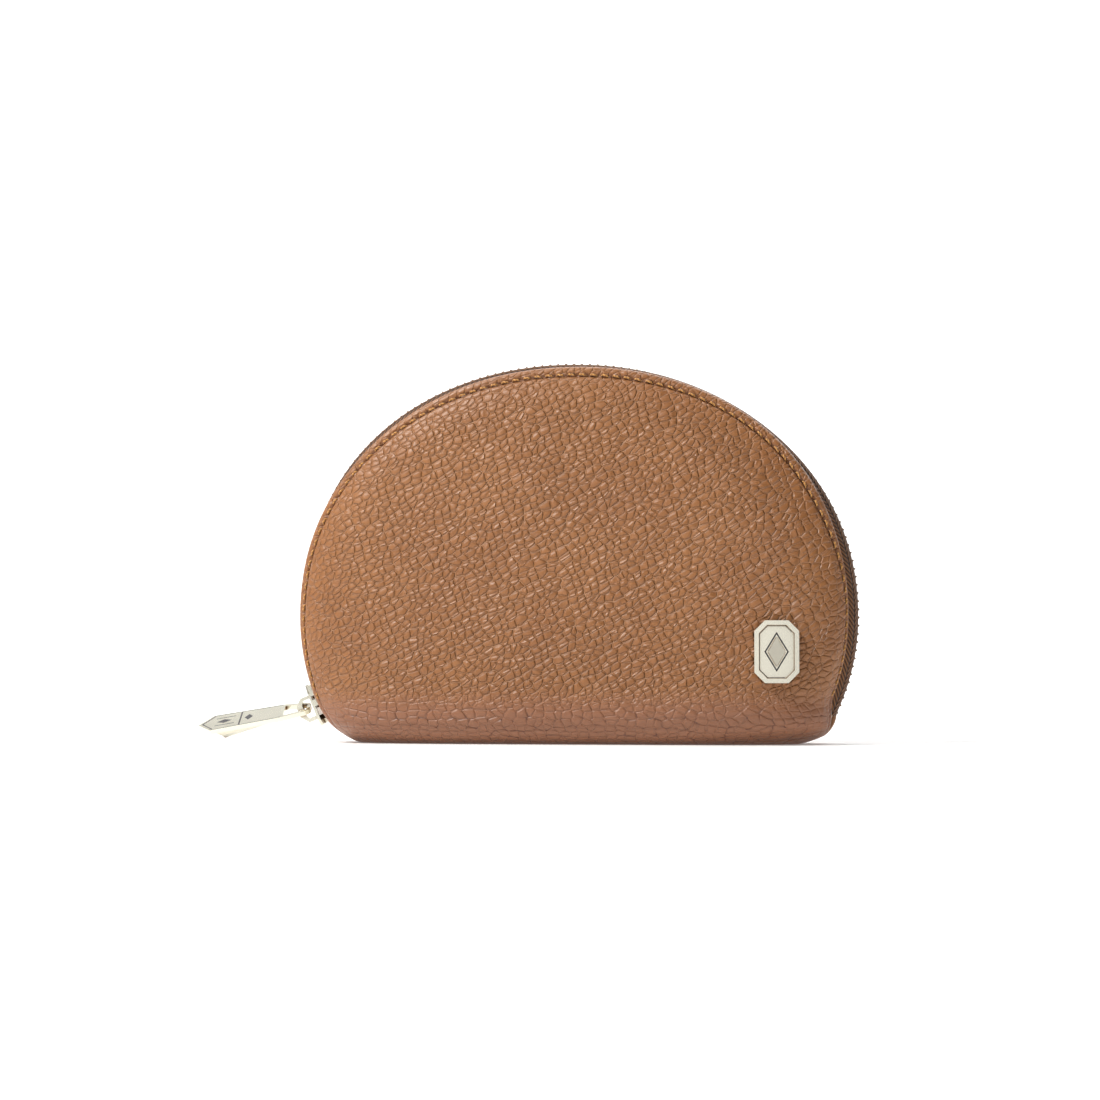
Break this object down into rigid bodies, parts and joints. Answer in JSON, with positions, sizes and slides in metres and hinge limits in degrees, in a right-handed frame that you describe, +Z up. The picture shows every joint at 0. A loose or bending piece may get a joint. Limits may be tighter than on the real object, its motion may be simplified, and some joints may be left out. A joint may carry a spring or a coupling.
{
  "type": "zippered leather pouch",
  "caption": "Half-moon leather pouch with a zip around the dome, a pointed metal pull, a plain metal plaque and a lined interior.",
  "frame": {"origin": "centre of the underside of the flat base, on the surface the pouch stands on", "axes": "+X to the right seen from the front, the front faces -Y, +Z up"},
  "size_m": [0.1695, 0.037, 0.0957],
  "materials": {
    "leather": "pebbled, semi-matt, tan",
    "board": "matt",
    "lining": "fine twill",
    "zip_tape": "herringbone weave",
    "zip_coil": "moulded nylon",
    "gold": "polished, light gold",
    "satin_gold": "satin, light gold"
  },
  "bodies": {
    "pouch": {"leather_base": "leather", "lining_base": "lining", "base_board": "board", "leather_back": "leather", "stiffener_back": "board", "lining_back": "lining", "slip_pocket": "lining", "zip_tape_back": "zip_tape", "zip_coil_back": "zip_coil", "zip_bottom_stop": "gold"},
    "front_half": {"leather_front": "leather", "stiffener_front": "board", "lining_front": "lining", "zip_tape_front": "zip_tape", "zip_coil_front": "zip_coil", "badge_plate": "gold", "badge_inlay": "satin_gold", "badge_washer": "gold"},
    "slider": {"slider_body": "gold", "slider_bail": "gold", "slider_lock_pin": "gold"},
    "pull_bar": {"pull": "gold"}
  },
  "joints": [
    {"name": "zip_travel", "type": "hinge", "parent": "pouch", "child": "slider", "pos_m": [0, 0, 0.02731], "axis": [0, 1, 0], "range_deg": [0, 206], "deforming": ["zip_tape_back", "zip_coil_back"]},
    {"name": "front_open", "type": "hinge", "parent": "pouch", "child": "front_half", "pos_m": [0, 0, 0.0085], "axis": [1, 0, 0], "range_deg": [0, 35.1], "deforming": ["zip_tape_front", "zip_coil_front", "leather_base", "lining_base"]},
    {"name": "pull_swing", "type": "hinge", "parent": "slider", "child": "pull_bar", "pos_m": [-0.06958, 0, 0.00862], "axis": [0, 1, 0], "range_deg": [-85, 60]}
  ],
  "couplings": [
    {"joint": "front_open", "follows": "zip_travel", "ratio": 0.17}
  ]
}
